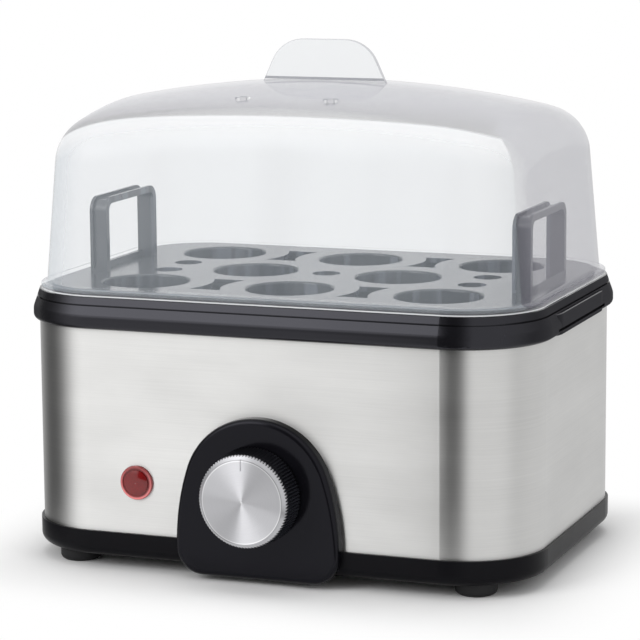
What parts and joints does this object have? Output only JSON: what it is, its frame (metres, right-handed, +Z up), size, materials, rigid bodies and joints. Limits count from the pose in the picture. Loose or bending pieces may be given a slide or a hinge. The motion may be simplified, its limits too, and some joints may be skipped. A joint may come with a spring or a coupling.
{
  "type": "electric egg cooker",
  "caption": "Steam egg cooker with a brushed steel body, lift-out egg tray, clear domed lid, front rotary switch and indicator lamp.",
  "frame": {"origin": "middle of the bounding box's bottom face, on the surface that the feet stand on", "axes": "+Z up, the front with the knob faces -Y, +X to the right seen from the front"},
  "size_m": [0.2356, 0.1846, 0.225],
  "materials": {
    "black_plastic": "satin moulded",
    "rubber_black": "matte",
    "brushed_band": "horizontally brushed",
    "pan_steel": "satin pressed",
    "zinc_steel": "zinc plated",
    "cast_aluminium": "as cast",
    "spun_aluminium": "spun",
    "brass": "plain",
    "silicone": "matte",
    "clear_plastic": "clear, slightly milky",
    "red_lens": "translucent",
    "grey_plastic": "satin moulded",
    "white_plastic": "plain",
    "wire_insulation": "plain"
  },
  "bodies": {
    "base": {"base_shell": "black_plastic", "feet": "rubber_black", "base_screws": "zinc_steel", "steel_band": "brushed_band", "top_collar": "black_plastic", "pan_seal": "silicone", "heating_pan": "pan_steel", "heat_spreader": "cast_aluminium", "heating_element": "pan_steel", "pan_bracket": "zinc_steel", "bracket_screws": "zinc_steel", "stud_nuts": "zinc_steel", "thermostat": "white_plastic", "thermostat_screws": "zinc_steel", "thermal_fuse": "white_plastic", "control_panel": "black_plastic", "panel_screws": "zinc_steel", "timer_case": "white_plastic", "timer_plate": "zinc_steel", "timer_screws": "zinc_steel", "timer_tabs": "brass", "lamp_lens": "red_lens", "lamp_body": "white_plastic", "lamp_clip": "zinc_steel", "cord_inlet": "black_plastic", "terminal_block": "white_plastic", "terminal_screws": "brass", "internal_leads": "wire_insulation"},
    "tray": {"egg_tray": "grey_plastic", "left_tray_handle": "grey_plastic", "right_tray_handle": "grey_plastic"},
    "lid": {"lid": "clear_plastic"},
    "knob": {"knob_skirt": "black_plastic", "knob_cap": "spun_aluminium", "timer_shaft": "zinc_steel"}
  },
  "joints": [
    {"name": "tray_lift", "type": "slide", "parent": "base", "child": "tray", "axis": [0, 0, 1], "range_m": [0, 0.09]},
    {"name": "lid_lift", "type": "slide", "parent": "tray", "child": "lid", "axis": [0, 0, 1], "range_m": [0, 0.13]},
    {"name": "knob_turn", "type": "hinge", "parent": "base", "child": "knob", "pos_m": [0, -0.07135, 0.0395], "axis": [0, 1, 0], "range_deg": [0, 300]}
  ]
}
